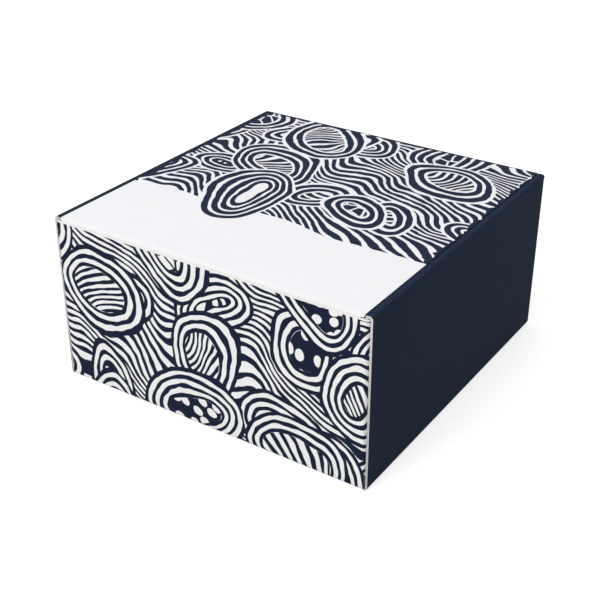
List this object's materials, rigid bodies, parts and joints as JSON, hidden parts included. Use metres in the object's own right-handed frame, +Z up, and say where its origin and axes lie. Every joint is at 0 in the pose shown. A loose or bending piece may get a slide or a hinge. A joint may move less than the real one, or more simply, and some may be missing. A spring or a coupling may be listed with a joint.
{
  "type": "mailer box",
  "caption": "Roll-end tuck-front mailer box of printed fine-flute board, with double side walls and a hinged lid that has a tuck flap and side flaps.",
  "frame": {"origin": "middle of the underside, on the surface that the closed box stands on", "axes": "+X to the right along the printed front, +Y from the front to the lid's hinge at the back, +Z up"},
  "size_m": [0.208, 0.2092, 0.105],
  "materials": {
    "navy_print": "solid navy ink on a smooth coated liner, matt",
    "front_print": "warm white coated liner with a navy line pattern, matt; the colour is the average of the two",
    "lid_print": "cool white coated liner, plain at the front, with a navy pattern over the rear two thirds; the colour is an average",
    "white_print": "plain white coated liner, matt",
    "board_inside": "uncoated off-white inside liner"
  },
  "bodies": {
    "box": {"bottom_panel": "board_inside", "front_wall": "front_print", "back_wall": "navy_print", "left_outer_wall": "navy_print", "right_outer_wall": "navy_print", "left_roll_top": "navy_print", "right_roll_top": "navy_print", "left_inner_wall": "navy_print", "right_inner_wall": "navy_print", "front_left_corner_flap": "board_inside", "front_right_corner_flap": "board_inside", "back_left_corner_flap": "board_inside", "back_right_corner_flap": "board_inside"},
    "lid": {"lid_panel": "lid_print"},
    "tuck_flap": {"lid_tuck_flap": "white_print"},
    "left_side_flap": {"lid_left_flap": "navy_print"},
    "right_side_flap": {"lid_right_flap": "navy_print"}
  },
  "joints": [
    {"name": "lid_hinge", "type": "hinge", "parent": "box", "child": "lid", "pos_m": [0, 0.104, 0.1044], "axis": [-1, 0, 0], "range_deg": [0, 180]},
    {"name": "tuck_flap_fold", "type": "hinge", "parent": "lid", "child": "tuck_flap", "pos_m": [0, -0.1019, 0.1038], "axis": [1, 0, 0], "range_deg": [-6.5, 60]},
    {"name": "left_side_flap_fold", "type": "hinge", "parent": "lid", "child": "left_side_flap", "pos_m": [-0.0983, 0, 0.1038], "axis": [0, -1, 0], "range_deg": [0, 80]},
    {"name": "right_side_flap_fold", "type": "hinge", "parent": "lid", "child": "right_side_flap", "pos_m": [0.0983, 0, 0.1038], "axis": [0, 1, 0], "range_deg": [0, 80]}
  ]
}
